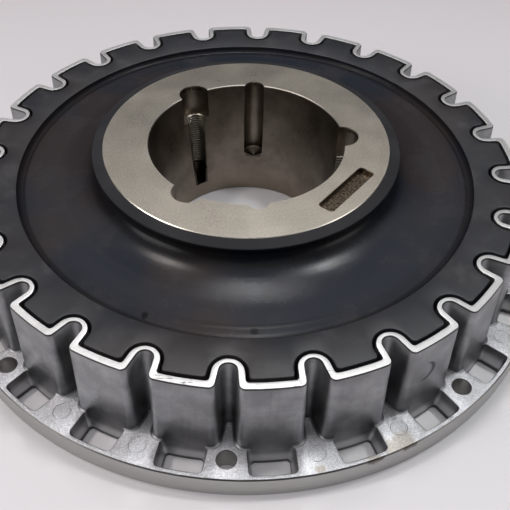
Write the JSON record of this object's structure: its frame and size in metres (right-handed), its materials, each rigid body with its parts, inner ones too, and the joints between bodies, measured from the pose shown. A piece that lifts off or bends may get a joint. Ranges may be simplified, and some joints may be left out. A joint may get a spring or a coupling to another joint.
{
  "type": "drive coupling",
  "caption": "Flexible flywheel coupling: a bolted ring with a corrugated toothed wall, a toothed rubber disc plugged into it and a hub with a tapered bore.",
  "frame": {"origin": "centre of the ring's mounting face, on the coupling's axis", "axes": "+Z along the coupling's axis, away from the flywheel, towards the large end of the hub's bore; +X and +Y are free, with the bolt holes at 42.26 degrees and every 45 degrees from there"},
  "size_m": [0.4668, 0.4668, 0.1016],
  "materials": {
    "cast_aluminium": "die cast, with a machined rim, edge and mounting face",
    "black_rubber": "moulded, slightly shiny",
    "cast_iron": "turned face and bore"
  },
  "bodies": {
    "root": {"flange_ring": "cast_aluminium", "rubber_disc": "black_rubber", "hub": "cast_iron"}
  },
  "joints": []
}
